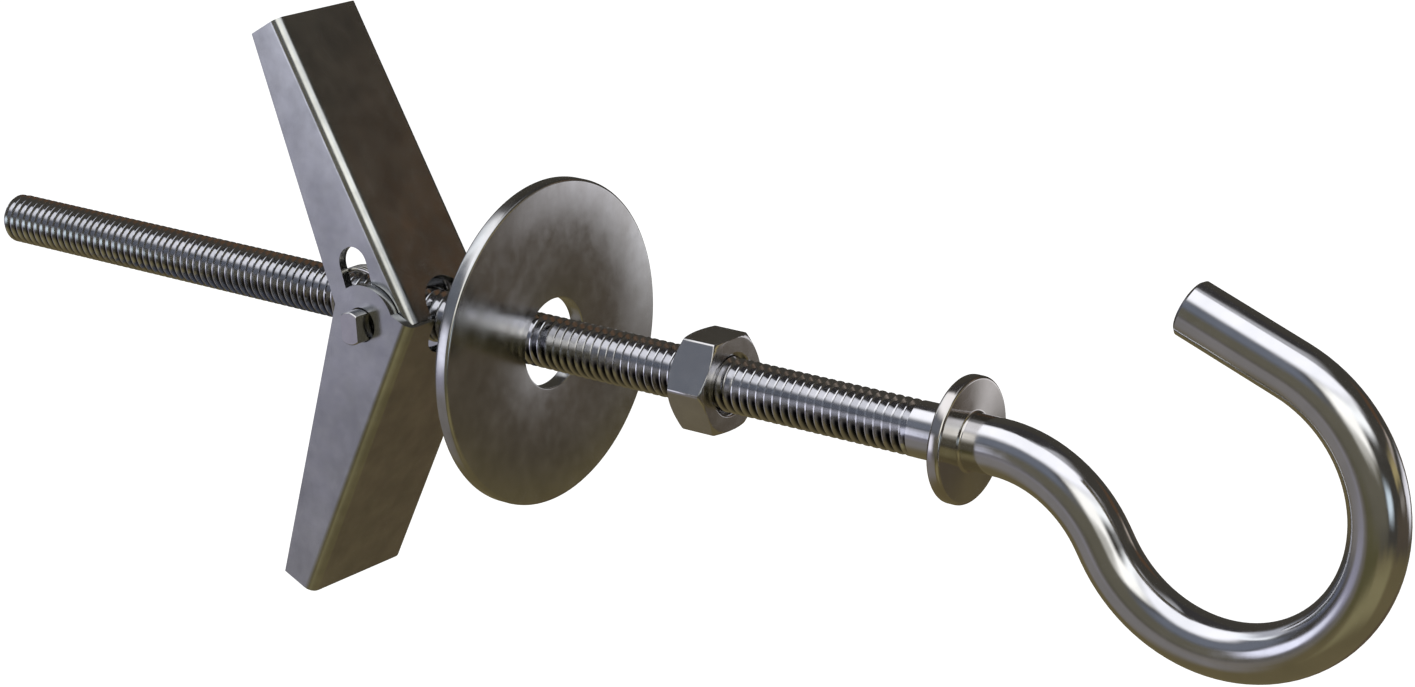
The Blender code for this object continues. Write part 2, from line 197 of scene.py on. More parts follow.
# %% [markdown]
# ## The thread on the hook bolt
#
# An M4 thread is a ridge wound round the bolt, rising 0.7 mm a turn. It could be faked with a bump
# pattern, but its crests show against the light along the bolt's edge, and its flanks, which stand
# 60 degrees apart, reflect each other. So it is real geometry. One pitch of its section is drawn
# from root to root, with a narrow flat crest, and the Screw modifier winds it along the bolt.

# %% Wind the thread
bolt_low, bolt_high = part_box("hook_bolt")
ROD_R = bolt_high.y
THREAD_PITCH = 0.7 * MM
THREAD_DEPTH = 0.45 * MM
THREAD_STEPS = 40
THREAD_END_X = 33.1 * MM
# Half a pitch of the section: the share of the pitch along it, and of the depth up from its root.
THREAD_SECTION = [(0.0, 0.0), (0.07, 0.0), (0.44, 1.0)]


def thread_section(start_x):
    """One pitch of the thread, as points at their distance from the bolt's axis."""
    whole = THREAD_SECTION + [(1 - along, rise) for along, rise in reversed(THREAD_SECTION)]
    root = ROD_R - THREAD_DEPTH
    return [(start_x + along * THREAD_PITCH, 0, root + rise * THREAD_DEPTH) for along, rise in whole]


start_x = bolt_low.x - THREAD_PITCH
turns = math.ceil((THREAD_END_X - start_x) / THREAD_PITCH) + 1
bolt = draw("threaded_hook_bolt", thread_section(start_x))
apply(
    bolt, "SCREW", axis="X", angle=math.tau, screw_offset=THREAD_PITCH, iterations=turns,
    steps=THREAD_STEPS, render_steps=THREAD_STEPS,
)
bpy.ops.object.mode_set(mode="EDIT")
bpy.ops.mesh.select_all(action="SELECT")
bpy.ops.mesh.remove_doubles(threshold=SAME_POINT)
bpy.ops.object.mode_set(mode="OBJECT")
print(f"thread: {turns} turns, {triangles(bolt)} triangles")

# %% [markdown]
# ## The ends of the thread
#
# The winding is cut square at the bolt's far end and where the plain shank begins. The far end of a
# real bolt is chamfered, so that it starts in the nut, and the thread's groove runs out where the
# rolling stopped. Both are a limit on how far a point may lie from the axis, so both are one move
# of the points.

# %% Cut and shape the ends
END_CHAMFER = 0.4 * MM
RUN_OUT = 0.2 * MM
CUT_TOLERANCE = 1e-9

bpy.ops.object.mode_set(mode="EDIT")
for plane_x, side in ((bolt_low.x, "clear_inner"), (THREAD_END_X, "clear_outer")):
    bpy.ops.mesh.select_all(action="SELECT")
    bpy.ops.mesh.bisect(
        plane_co=(plane_x, 0, 0), plane_no=(1, 0, 0), threshold=CUT_TOLERANCE, **{side: True}
    )
bpy.ops.object.mode_set(mode="OBJECT")


def set_radius(vert, radius):
    """Move a point straight out from the bolt's axis, or in."""
    now = math.hypot(vert.co.y, vert.co.z)
    vert.co.y *= radius / now
    vert.co.z *= radius / now


for vert in bolt.data.vertices:
    radius = math.hypot(vert.co.y, vert.co.z)
    chamfer = ROD_R - END_CHAMFER + (vert.co.x - bolt_low.x)
    run_out = min(max((vert.co.x - THREAD_END_X) / RUN_OUT + 1, 0), 1)
    set_radius(vert, min(radius, chamfer) + (ROD_R - radius) * run_out)
print(f"threaded from {bolt_low.x / MM:.1f} to {THREAD_END_X / MM:.1f} mm, {ROD_R / MM:.2f} mm in radius")

# %% [markdown]
# ## The shank and the hook
#
# The rest of the bolt is the same wire, left plain and bent. A ring of points the size of the wire
# is carried along it: extruded where it is straight and spun about the middle of each bend. A bent
# curve with a round bevel would do as well, but the spin says exactly what the bending tool did.

# %% Carry a ring along the shank and round the hook
JOIN_LENGTH = 0.3 * MM
SHANK_START_X = THREAD_END_X + JOIN_LENGTH
SHANK_END_X = 39.32 * MM
NECK_BEND_R = 9.63 * MM
NECK_BEND = math.radians(58.4)
NECK_LENGTH = 0.9 * MM
HOOK_BEND_R = 10.25 * MM
HOOK_BEND = math.radians(217.7)
HOOK_TIP_LENGTH = 7.93 * MM
TIP_CHAMFER = 0.2 * MM
WIRE_SIDES = 64
BEND_STEP = math.radians(3.5)


def extrude_ring(step):
    """Carry the selected ring straight on."""
    bpy.ops.mesh.extrude_region_move(TRANSFORM_OT_translate={"value": step})


def spin_ring(centre, turn):
    """Carry the selected ring round a bend in the plane of the hook; up is positive."""
    steps = math.ceil(abs(turn) / BEND_STEP)
    bpy.ops.mesh.spin(steps=steps, angle=turn, center=centre, axis=(0, 1, 0))


def heading(angle):
    """The direction at that angle above the bolt's axis."""
    return Vector((math.cos(angle), 0, math.sin(angle)))


bpy.ops.object.select_all(action="DESELECT")
bpy.ops.mesh.primitive_circle_add(
    vertices=WIRE_SIDES, radius=ROD_R, location=(SHANK_START_X, 0, 0), rotation=(0, math.pi / 2, 0)
)
hook = named("hook")
bpy.ops.object.mode_set(mode="EDIT")
extrude_ring(heading(0) * (SHANK_END_X - SHANK_START_X))
place = Vector((SHANK_END_X, 0, 0))
angle = 0.0
for radius, turn, length in (
    (NECK_BEND_R, -NECK_BEND, NECK_LENGTH),
    (HOOK_BEND_R, HOOK_BEND, HOOK_TIP_LENGTH - TIP_CHAMFER),
):
    aside = heading(angle + math.copysign(math.pi / 2, turn))
    centre = place + aside * radius
    spin_ring(centre, turn)
    angle += turn
    place = centre - heading(angle + math.copysign(math.pi / 2, turn)) * radius
    extrude_ring(heading(angle) * length)
    place = place + heading(angle) * length
extrude_ring(heading(angle) * TIP_CHAMFER)
place = place + heading(angle) * TIP_CHAMFER
shrink = 1 - TIP_CHAMFER / ROD_R
bpy.ops.transform.resize(value=(shrink, shrink, shrink), center_override=place)
bpy.ops.mesh.edge_face_add()
bpy.ops.object.mode_set(mode="OBJECT")
print("hook tip at", [round(x / MM, 2) for x in place], "mm")

# %% [markdown]
# ## One bolt
#
# The threaded length and the hook become one closed mesh: the two open rings that face each other
# are bridged, and the far end is filled. The two rings have different numbers of points, which a
# bridge copes with, and it lies on the plain shank, where it doesn't show.

# %% Join the thread and the hook
IN_THE_PLANE = 0.02 * MM
BOLT_SMOOTH = math.radians(22)

bpy.ops.object.select_all(action="DESELECT")
hook.select_set(True)
bolt.select_set(True)
bpy.context.view_layer.objects.active = bolt
bpy.ops.object.join()
bpy.ops.object.mode_set(mode="EDIT")


def open_edge_near(x):
    """A test for open edges in the plane across the bolt at x."""
    return lambda edge: edge.is_boundary and all(abs(v.co.x - x) < IN_THE_PLANE for v in edge.verts)


pick(bolt, "edges", lambda e: open_edge_near(THREAD_END_X)(e) or open_edge_near(SHANK_START_X)(e))
bpy.ops.mesh.bridge_edge_loops()
pick(bolt, "edges", open_edge_near(bolt_low.x))
bpy.ops.mesh.edge_face_add()
bpy.ops.mesh.select_all(action="SELECT")
bpy.ops.mesh.normals_make_consistent(inside=False)
bpy.ops.object.mode_set(mode="OBJECT")
bpy.ops.object.shade_smooth_by_angle(angle=BOLT_SMOOTH)
print(f"bolt: {triangles(bolt)} triangles")

# %% [markdown]
# ## The washer and the collar
#
# Both are plain rings, turned or stamped. A ring could be two cylinders and a Boolean, but spinning
# its section round the bolt gives clean loops all the way, and the rounded rims that catch the
# light are simply part of the section.

# %% Spin the two rings
RING_STEPS = 160
RIM_ARC_STEPS = 5
RING_SMOOTH = math.radians(30)


def quarter(centre_x, centre_r, radius, start):
    """Points of a quarter circle in a ring's section, from an angle in degrees."""
    points = []
    for step in range(RIM_ARC_STEPS + 1):
        turn = math.radians(start + 90 * step / RIM_ARC_STEPS)
        points.append((centre_x + radius * math.cos(turn), 0, centre_r + radius * math.sin(turn)))
    return points


def spin_ring_piece(name, node, hole_r, rim_r, edge_r, fillet_r=0.0):
    """A ring with rounded edges in the place of a frame part.

    With a fillet, its front face runs into the wire inside it in a small hollow curve."""
    low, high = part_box(node)
    outer_r = high.y
    section = quarter(high.x - rim_r, outer_r - rim_r, rim_r, 0)
    section += quarter(low.x + rim_r, outer_r - rim_r, rim_r, 90)
    section += quarter(low.x + edge_r, hole_r + edge_r, edge_r, 180)
    if fillet_r:
        section += quarter(high.x + fillet_r, hole_r + fillet_r, fillet_r, 180)[::-1]
    else:
        section += quarter(high.x - edge_r, hole_r + edge_r, edge_r, 270)
    ring = draw(name, section + section[:1])
    bpy.ops.object.mode_set(mode="EDIT")
    bpy.ops.mesh.select_all(action="SELECT")
    bpy.ops.mesh.spin(steps=RING_STEPS, angle=math.tau, center=(0, 0, 0), axis=(1, 0, 0))
    bpy.ops.mesh.select_all(action="SELECT")
    bpy.ops.mesh.remove_doubles(threshold=SAME_POINT)
    bpy.ops.mesh.normals_make_consistent(inside=False)
    bpy.ops.object.mode_set(mode="OBJECT")
    bpy.ops.object.shade_smooth_by_angle(angle=RING_SMOOTH)
    print(f"{name}: {triangles(ring)} triangles")
    return ring


washer = spin_ring_piece("wall_washer", "large_washer", 3.4 * MM, 0.25 * MM, 0.12 * MM)
collar = spin_ring_piece(
    "pressed_collar", "collar", ROD_R - 0.004 * MM, 0.25 * MM, 0.05 * MM, fillet_r=0.22 * MM
)

# %% [markdown]
# ## Finishing a part of the frame
#
# The nut, the toggle nut and the two wings already have their true shape in the frame, but with
# edges as sharp as a mathematician's. Real stamped and turned edges are broken by a few hundredths
# of a millimetre, and that narrow round is what draws a bright line along them. A merged copy of the
# part gets a fine bevel, and weighted normals keep its flat faces flat.

# %% Copy and ease the edges
EDGE_LIMIT = math.radians(32)
FLAT_LIMIT = math.radians(0.5)


def eased_copy(name, node, width, segments=2):
    """A merged copy of a frame part with its sharp edges rounded a little."""
    piece = bpy.data.objects.new(name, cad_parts[node].data.copy())
    bpy.context.scene.collection.objects.link(piece)
    piece.data.name = name
    piece.data.materials.clear()
    only(piece)
    bpy.ops.mesh.customdata_custom_splitnormals_clear()
    bpy.ops.object.mode_set(mode="EDIT")
    bpy.ops.mesh.select_all(action="SELECT")
    bpy.ops.mesh.remove_doubles(threshold=SAME_POINT)
    bpy.ops.mesh.dissolve_limited(angle_limit=FLAT_LIMIT)
    bpy.ops.object.mode_set(mode="OBJECT")
    apply(
        piece, "BEVEL", width=width, segments=segments, limit_method="ANGLE",
        angle_limit=EDGE_LIMIT, miter_outer="MITER_ARC",
    )
    bpy.ops.object.shade_smooth_by_angle(angle=EDGE_LIMIT)
    apply(piece, "WEIGHTED_NORMAL", keep_sharp=True, weight=100)
    print(f"{name}: {triangles(piece)} triangles")
    return piece


nut = eased_copy("hexagon_nut", "hex_nut", 0.06 * MM)
toggle = eased_copy("cross_nut", "toggle_nut", 0.04 * MM)
outer_wing = eased_copy("lower_wing", "outer_wing", 0.04 * MM)
inner_wing = eased_copy("upper_wing", "inner_wing", 0.04 * MM)

# %% [markdown]
# ## The torsion spring
#
# One length of spring wire makes two coils round the toggle nut's stubs, a bridge that presses on the
# upper wing and two legs that press on the lower one. When the wings fold, the legs follow them and the
# coils wind tighter. So the wire is modelled in lengths: each coil stays with the toggle nut, and each
# leg is a length of its own.

# %% Measure the spring
WHOLE_TURNS = 3
SPRING_WIRE_R = 0.19 * MM
COIL_R = 3.1 * MM
COIL_PITCH = 0.388 * MM
COIL_HANG = math.radians(160)
STUB_R = 1.27 * MM
LEG_REACH = 7.0 * MM
LEG_DEPTH = 3.08 * MM
UPPER_TILT = math.radians(31.1)
LOWER_TILT = math.radians(24.1)
COIL_SEAT_GAP = 0.05 * MM

toggle_low, toggle_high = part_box("toggle_nut")
pivot = Vector(((toggle_low.x + toggle_high.x) / 2, 0, 0))
coil_centre = pivot + heading(COIL_HANG) * (COIL_R - SPRING_WIRE_R - STUB_R - COIL_SEAT_GAP)


def leg_line(tilt, side):
    """Where a leg leaves the coil, as an angle, and its two ends; side is 1 up, -1 down."""
    web = heading(side * tilt)
    along = heading(side * (tilt + math.pi / 2))
    tip = pivot + web * LEG_DEPTH + along * LEG_REACH
    away = tip - coil_centre
    leaves = side * (math.atan2(side * away.z, away.x) - math.acos(COIL_R / away.length))
    return leaves, coil_centre + heading(leaves) * COIL_R, tip


upper_leaves, upper_root, upper_tip = leg_line(UPPER_TILT, 1)
lower_leaves, lower_root, lower_tip = leg_line(LOWER_TILT, -1)
coil_turns = WHOLE_TURNS + (upper_leaves - lower_leaves) / math.tau
coil_outer_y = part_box("torsion_spring")[1].y - SPRING_WIRE_R
coil_inner_y = coil_outer_y - coil_turns * COIL_PITCH
print(f"spring: {coil_turns:.2f} turns a side, {coil_inner_y / MM:.2f} to {coil_outer_y / MM:.2f} mm out")

# %% [markdown]
# ## The coils
#
# The real wire is wound on a mandrel, turn beside turn, and hangs loosely on its stub. A curve along
# a helix would do, but the Screw modifier is the winding itself: a ring of wire is carried round the
# pivot and moved along it at the same time. The two coils are mirror images; each is wound from its
# own outer end inwards, so that neither has to be mirrored.

# %% Wind the coils
SPRING_SIDES = 14
COIL_STEPS = 56
WIRE_SMOOTH = math.radians(50)


def close_ends():
    """In edit mode, fill the open ends of a tube and turn all faces outwards."""
    bpy.ops.mesh.select_all(action="SELECT")
    bpy.ops.mesh.fill_holes(sides=SPRING_SIDES)
    bpy.ops.mesh.normals_make_consistent(inside=False)


def coil(name, side):
    """One coil, from its outer end to its inner end; side is -1 or 1 along the pivot."""
    bpy.ops.object.select_all(action="DESELECT")
    bpy.ops.mesh.primitive_circle_add(
        vertices=SPRING_SIDES, radius=SPRING_WIRE_R, location=(COIL_R, 0, 0)
    )
    piece = named(name)
    apply(
        piece, "SCREW", axis="Y", angle=-coil_turns * math.tau,
        screw_offset=-side * coil_turns * COIL_PITCH,
        steps=round(coil_turns * COIL_STEPS), render_steps=round(coil_turns * COIL_STEPS),
    )
    piece.rotation_euler = (0, -lower_leaves, 0)
    piece.location = (coil_centre.x, side * coil_outer_y, coil_centre.z)
    bpy.ops.object.transform_apply(location=True, rotation=True, scale=True)
    bpy.ops.object.mode_set(mode="EDIT")
    close_ends()
    bpy.ops.object.mode_set(mode="OBJECT")
    bpy.ops.object.shade_smooth_by_angle(angle=WIRE_SMOOTH)
    return piece


coils = [coil("spring_coil_near", -1), coil("spring_coil_far", 1)]
print("coils:", [triangles(c) for c in coils], "triangles")

# %% [markdown]
# ## The legs and the bridge
#
# A leg leaves its coil along a tangent and runs straight to the inside of a wing. The upper two are
# one piece with the bridge between them, which has a small bend at each corner. A ring of wire is
# carried along each, as on the hook. The straight stretches are cut into short lengths, because a
# leg can only bend between its rings of points.

# %% Draw out the legs
BRIDGE_BEND_R = 0.6 * MM
BRIDGE_BEND_STEPS = 8
LEG_STRETCHES = 12


def ring_at(name, place, direction):
    """A ring of wire at a place, square to a direction, in edit mode."""
    bpy.ops.object.select_all(action="DESELECT")
    bpy.ops.mesh.primitive_circle_add(
        vertices=SPRING_SIDES, radius=SPRING_WIRE_R, location=place,
        rotation=direction.to_track_quat("Z", "Y").to_euler(),
    )
    piece = named(name)
    bpy.ops.object.mode_set(mode="EDIT")
    return piece


def close_wire(piece):
    """Close the wire's ends and leave edit mode with it shaded smooth."""
    close_ends()
    bpy.ops.object.mode_set(mode="OBJECT")
    bpy.ops.object.shade_smooth_by_angle(angle=WIRE_SMOOTH)
    return piece


def stretch(step):
    """Carry the ring along a straight leg in short lengths."""
    for _ in range(LEG_STRETCHES):
        extrude_ring(step / LEG_STRETCHES)


def bridge_leg():
    """Both upper legs and the bridge between them, in one wire."""
    start = Vector((upper_root.x, -coil_inner_y, upper_root.z))
    corner = Vector((upper_tip.x, -coil_inner_y, upper_tip.z))
    leg = corner - start
    along = leg.normalized()
    across = Vector((0, 1, 0))
    piece = ring_at("spring_bridge", start, along)
    stretch(leg - along * BRIDGE_BEND_R)
    bend_axis = along.cross(across)
    centre = corner - along * BRIDGE_BEND_R + across * BRIDGE_BEND_R
    quarter_turn = {"steps": BRIDGE_BEND_STEPS, "angle": -math.pi / 2, "axis": bend_axis}
    bpy.ops.mesh.spin(center=centre, **quarter_turn)
    extrude_ring(across * 2 * (coil_inner_y - BRIDGE_BEND_R))
    centre = centre + across * 2 * (coil_inner_y - BRIDGE_BEND_R)
    bpy.ops.mesh.spin(center=centre, **quarter_turn)
    stretch(along * BRIDGE_BEND_R - leg)
    return close_wire(piece)


def lower_leg(name, side):
    """One lower leg, from the coil's outer turn to where it presses on the lower wing."""
    start = Vector((lower_root.x, side * coil_outer_y, lower_root.z))
    leg = lower_tip - lower_root
    piece = ring_at(name, start, leg.normalized())
    stretch(leg)
    return close_wire(piece)


bridge = bridge_leg()
lower_legs = [lower_leg("spring_leg_near", -1), lower_leg("spring_leg_far", 1)]
print("spring legs:", [triangles(p) for p in (bridge, *lower_legs)], "triangles")

# %% [markdown]
# ## Which body each piece moves with
#
# Rigid pieces simply ride. The spring's coils ride on the toggle nut. The bridge and the legs keep their
# place and ride with no body.

# %% Ride and replace
for piece, body, part, slot in (
    (bolt, "bolt", "hook_bolt", "bolt_steel"),
    (collar, "bolt", "collar", "bolt_steel"),
    (washer, "washer", "large_washer", "washer_steel"),
    (nut, "nut", "hex_nut", "nut_steel"),
    (toggle, "toggle", "toggle_nut", "toggle_steel"),
    (outer_wing, "outer_wing", "outer_wing", "wing_steel"),
    (inner_wing, "inner_wing", "inner_wing", "wing_steel"),
):
    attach(piece, body)
    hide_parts(part)

for piece in coils:
    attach(piece, "toggle")
    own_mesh(piece)

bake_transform(bridge)
for piece in lower_legs:
    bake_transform(piece)

spring = [*coils, bridge, *lower_legs]
for piece in spring:
    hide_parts("torsion_spring")
print("spring pieces:", [piece.name for piece in spring])

# %% [markdown]
# ## Materials: bare plated steel
#
# All the pieces but the spring are steel under a thin bright plating of zinc or nickel, and the spring is
# bright drawn wire, which looks much the same. So they share one recipe: a metal whose colour is the
# plating's own, with a default IOR. What makes it look real is that its gloss isn't even. Handling and
# the plating bath leave soft clouds in it, and the sheet's rolling or the turning tool leaves fine lines.
# On the bolt, the thread's roots on its underside are painted a darker grey, as painted shade.
#
# A plain value would be simpler, but a metal shows almost nothing but reflections, so it is the
# roughness that has to carry the detail.

# %% Helpers for materials
def linear(hex_colour):
    """The linear colour, with alpha, of an sRGB hex value."""
    channels = [int(hex_colour[i:i + 2], 16) / 255 for i in (1, 3, 5)]
    curve = [c / 12.92 if c <= 0.04045 else ((c + 0.055) / 1.055) ** 2.4 for c in channels]
    return (*curve, 1.0)


def node(tree, kind, settings=None, inputs=None):
    """Add a node, set its properties, and set or link its inputs."""
    made = tree.nodes.new(kind)
    for key, value in (settings or {}).items():
        setattr(made, key, value)
    for key, value in (inputs or {}).items():
        if isinstance(value, bpy.types.NodeSocket):
            tree.links.new(value, made.inputs[key])
        else:
            made.inputs[key].default_value = value
    return made


def new_tree(name):
    """An empty node material and its output node."""
    material = bpy.data.materials.new(name)
    material.use_nodes = True
    material.node_tree.nodes.clear()
    return material, material.node_tree


# %% [markdown]
# ## One recipe for the plating
#
# Zinc and nickel plating on steel is a bright, slightly uneven metal. Its clouds are a few
# millimetres wide. The surface's gentle waves, at most a fiftieth of a millimetre deep, bend what
# it reflects. Rolling leaves lines along a sheet, and the other pieces keep small tool marks that
# run no one way. Both are finer than a picture can show, so they are drawn at a quarter to half a
# millimetre.

# %% Plated steel
# Painted shade: the dark grey and the heights below the axis over which it darkens the thread's roots.
PAINTED_ROOT_SHADE = "#4c4d56"
UNDERSIDE_SHADE_HEIGHTS = (0.1 * MM, -0.35 * MM)
NOISE_RANGE = {"From Min": 0.3, "From Max": 0.7}
SMEARS_TO_A_CLOUD = 2.7


def plated_steel(name, dull, bright, gloss, cloud, wave, lines, line_depth, root_shade=None):
    """A plated steel.

    dull and bright are its colours in the clouds, gloss its lowest and highest roughness, cloud the
    clouds' size, wave the size and depth of its waves, lines the spacing of its tool lines along X, Y and
    Z, and line_depth how deep they are. Between the two radii given for the roots, and on the thread's
    underside alone, the colour fades to a dark grey, as painted shade."""
    material, tree = new_tree(name)
    place = node(tree, "ShaderNodeTexCoord").outputs["Object"]
    clouds = node(tree, "ShaderNodeTexNoise", inputs={
        "Vector": place, "Scale": 1 / cloud, "Detail": 3.0, "Roughness": 0.55,
    }).outputs["Fac"]
    smears = node(tree, "ShaderNodeTexNoise", inputs={
        "Vector": place, "Scale": SMEARS_TO_A_CLOUD / cloud, "Detail": 2.0, "Roughness": 0.5,
    }).outputs["Fac"]
    colour = node(tree, "ShaderNodeMix", {"data_type": "RGBA"}, {
        0: node(tree, "ShaderNodeMapRange", inputs={"Value": clouds, **NOISE_RANGE}).outputs[0],
        6: linear(dull), 7: linear(bright),
    }).outputs[2]
    roughness = node(tree, "ShaderNodeMapRange", inputs={
        "Value": smears, **NOISE_RANGE, "To Min": gloss[0], "To Max": gloss[1],
    }).outputs[0]
    waves = node(tree, "ShaderNodeTexNoise", inputs={
        "Vector": place, "Scale": 1 / wave[0], "Detail": 1.0, "Roughness": 0.4,
    }).outputs["Fac"]
    stretched = node(tree, "ShaderNodeVectorMath", {"operation": "MULTIPLY"}, {
        0: place, 1: [1 / spacing for spacing in lines],
    }).outputs[0]
    tool_lines = node(tree, "ShaderNodeTexNoise", inputs={
        "Vector": stretched, "Scale": 1.0, "Detail": 3.0, "Roughness": 0.6,
    }).outputs["Fac"]
    waved = node(tree, "ShaderNodeBump", inputs={
        "Strength": 1.0, "Distance": wave[1], "Height": waves,
    }).outputs[0]
    lined = node(tree, "ShaderNodeBump", inputs={
        "Strength": 1.0, "Distance": line_depth, "Height": tool_lines, "Normal": waved,
    }).outputs[0]
    # Painted shade: in the thread's roots, and only below the bolt's axis, the colour fades to dark grey.
    if root_shade:
        xyz = node(tree, "ShaderNodeSeparateXYZ", inputs={0: place}).outputs
        across = node(tree, "ShaderNodeCombineXYZ", inputs={"Y": xyz["Y"], "Z": xyz["Z"]}).outputs[0]
        radius = node(tree, "ShaderNodeVectorMath", {"operation": "LENGTH"}, {0: across})
        deep = node(tree, "ShaderNodeMapRange", inputs={
            "Value": radius.outputs["Value"], "From Min": root_shade[0], "From Max": root_shade[1],
        }).outputs[0]
        below_axis = node(tree, "ShaderNodeMapRange", inputs={
            "Value": xyz["Z"], "From Min": UNDERSIDE_SHADE_HEIGHTS[0], "From Max": UNDERSIDE_SHADE_HEIGHTS[1],
        }).outputs[0]
        threaded = node(tree, "ShaderNodeMath", {"operation": "LESS_THAN"}, {
            0: xyz["X"], 1: THREAD_END_X,
        }).outputs[0]
        painted_shade = node(tree, "ShaderNodeMath", {"operation": "MULTIPLY"}, {0: below_axis, 1: threaded})
        colour = node(tree, "ShaderNodeMix", {"data_type": "RGBA"}, {
            0: node(tree, "ShaderNodeMath", {"operation": "MULTIPLY"}, {
                0: deep, 1: painted_shade.outputs[0],
            }).outputs[0],
            6: colour, 7: linear(PAINTED_ROOT_SHADE),
        }).outputs[2]
    shader = node(tree, "ShaderNodeBsdfPrincipled", inputs={
        "Base Color": colour, "Metallic": 1.0, "Roughness": roughness, "Normal": lined,
    })
    node(tree, "ShaderNodeOutputMaterial", inputs={"Surface": shader.outputs[0]})
    return material


# %% [markdown]
# ## The six finishes
#
# What differs from piece to piece is how its steel was shaped before it was plated. The hook bolt is
# drawn wire with a rolled thread, polished bright. The collar is punched and nickel plated with it.
# The wings are folded from rolled sheet, the washer is punched from it, the two nuts are machined,
# and the spring is left as it came from the drawing die. One material could serve them all, but
# bright wire beside duller sheet is what tells the eye that these are separate pieces.

# %% The six finishes
# Bright and smooth: long, crisp highlights, and painted shade that darkens the thread's roots on its
# underside.
nickel_wire = plated_steel(
    "nickel_plated_steel_rolled_and_polished", "#cecfd2", "#dadadd", (0.08, 0.16),
    3.0 * MM, (2.5 * MM, 0.004 * MM), (0.5 * MM, 0.5 * MM, 0.5 * MM), 0.0012 * MM,
    root_shade=(ROD_R - 0.06 * MM, ROD_R - 0.25 * MM),
)
# As bright as the wire, a little warmer, and flat.
nickel_collar = plated_steel(
    "nickel_plated_steel_stamped", "#c2beba", "#d2cfcc", (0.08, 0.14),
    3.0 * MM, (2.5 * MM, 0.003 * MM), (0.4 * MM, 0.4 * MM, 0.4 * MM), 0.0005 * MM,
)
# Greyer and softer, with rolling lines along the wing and gentle waves in its flat faces.
zinc_sheet = plated_steel(
    "zinc_plated_steel_rolled_sheet", "#b3b5b5", "#cfd1d0", (0.16, 0.26),
    3.2 * MM, (4.0 * MM, 0.02 * MM), (0.25 * MM, 0.25 * MM, 1.5 * MM), 0.001 * MM,
)
# The same sheet, stamped flat: its reflections are a little sharper, in soft clouds.
zinc_washer = plated_steel(
    "zinc_plated_steel_stamped", "#b9b8b6", "#d0d1d2", (0.13, 0.21),
    3.0 * MM, (4.0 * MM, 0.006 * MM), (0.3 * MM, 0.35 * MM, 1.5 * MM), 0.001 * MM,
)
# Clean and even, with fine tool marks that run no one way.
zinc_turned = plated_steel(
    "zinc_plated_steel_machined", "#c8c6c6", "#d2d1d0", (0.14, 0.22),
    2.0 * MM, (2.0 * MM, 0.004 * MM), (0.3 * MM, 0.3 * MM, 0.3 * MM), 0.001 * MM,
)
# Slightly warm and plain, because the wire is too thin to show much.
spring_wire = plated_steel(
    "spring_steel_drawn_bright", "#c6c3be", "#d0cdc9", (0.10, 0.18),
    2.0 * MM, (1.5 * MM, 0.002 * MM), (0.3 * MM, 0.3 * MM, 0.3 * MM), 0.0005 * MM,
)
for material, pieces in (
    (nickel_wire, [bolt]),
    (nickel_collar, [collar]),
    (zinc_sheet, [outer_wing, inner_wing]),
    (zinc_washer, [washer]),
    (zinc_turned, [nut, toggle]),
    (spring_wire, spring),
):
    for piece in pieces:
        piece.data.materials.clear()
        piece.data.materials.append(material)
    print(f"{material.name}: {', '.join(piece.name for piece in pieces)}")

# %% [markdown]
# ## The floor and the white background
#
# The floor is a plain pale sheet far below the anchor, which hangs in the air as it does on its
# wall. It glows towards the camera, so that it reads as white paper, and it still takes a shadow.
# The world behind is white to the camera and to reflections, and a plain soft grey for everything
# else, which sets the level of light on the floor.

# %% Floor and world
ROOM_R = 0.8
FLOOR_GAP = 0.05
FLOOR_SIZE = 12.0
FLOOR_GLOW = 0.7
SOFT_LIGHT = 0.5

bpy.ops.object.select_all(action="DESELECT")
bpy.ops.mesh.primitive_plane_add(size=FLOOR_SIZE, location=(0, 0, -ROOM_R - FLOOR_GAP))
floor = named("floor")
floor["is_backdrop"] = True


def seen_directly(tree):
    """1 for camera, glossy and transmission rays, 0 for the rest."""
    path = node(tree, "ShaderNodeLightPath").outputs
    either = node(tree, "ShaderNodeMath", {"operation": "MAXIMUM"}, {
        0: path["Is Camera Ray"], 1: path["Is Glossy Ray"],
    }).outputs[0]
    return node(tree, "ShaderNodeMath", {"operation": "MAXIMUM"}, {
        0: either, 1: path["Is Transmission Ray"],
    }).outputs[0]


pale_floor, tree = new_tree("matt_white_paper")
paper = node(tree, "ShaderNodeBsdfDiffuse", inputs={"Color": linear("#ececec")})
glow = node(tree, "ShaderNodeEmission", inputs={
    "Color": (FLOOR_GLOW, FLOOR_GLOW, FLOOR_GLOW, 1), "Strength": seen_directly(tree),
})
both = node(tree, "ShaderNodeAddShader", inputs={0: paper.outputs[0], 1: glow.outputs[0]})
node(tree, "ShaderNodeOutputMaterial", inputs={"Surface": both.outputs[0]})
floor.data.materials.append(pale_floor)

world = bpy.data.worlds.new("studio")
bpy.context.scene.world = world
world.use_nodes = True
tree = world.node_tree
tree.nodes.clear()
soft = node(tree, "ShaderNodeBackground", inputs={
    "Color": linear("#ffffff"), "Strength": SOFT_LIGHT,
})
white = node(tree, "ShaderNodeBackground", inputs={"Color": linear("#ffffff"), "Strength": 1.0})
mixed = node(tree, "ShaderNodeMixShader", inputs={
    0: seen_directly(tree), 1: soft.outputs[0], 2: white.outputs[0],
})
node(tree, "ShaderNodeOutputWorld", inputs={"Surface": mixed.outputs[0]})
print(f"floor: {FLOOR_SIZE:.0f} m wide, {ROOM_R + FLOOR_GAP:.2f} m below the bolt")

# %% [markdown]
# ## The room that the metal reflects
#
# Polished metal shows its surroundings and little else, so a photographer builds a small room of
# cards round it: dark ones where a face should read dark, pale ones where it should read light. Here
# the room is one big ball round the anchor that only reflections see. Its walls are a dull brown,
# and each soft patch on it is a card. A card is given by the compass direction of its middle, as an
# angle from the hook's end of the bolt, its height above the horizon, and half its size. Later
# cards lie over earlier ones. A little noise bends their edges, since no real room is that straight.

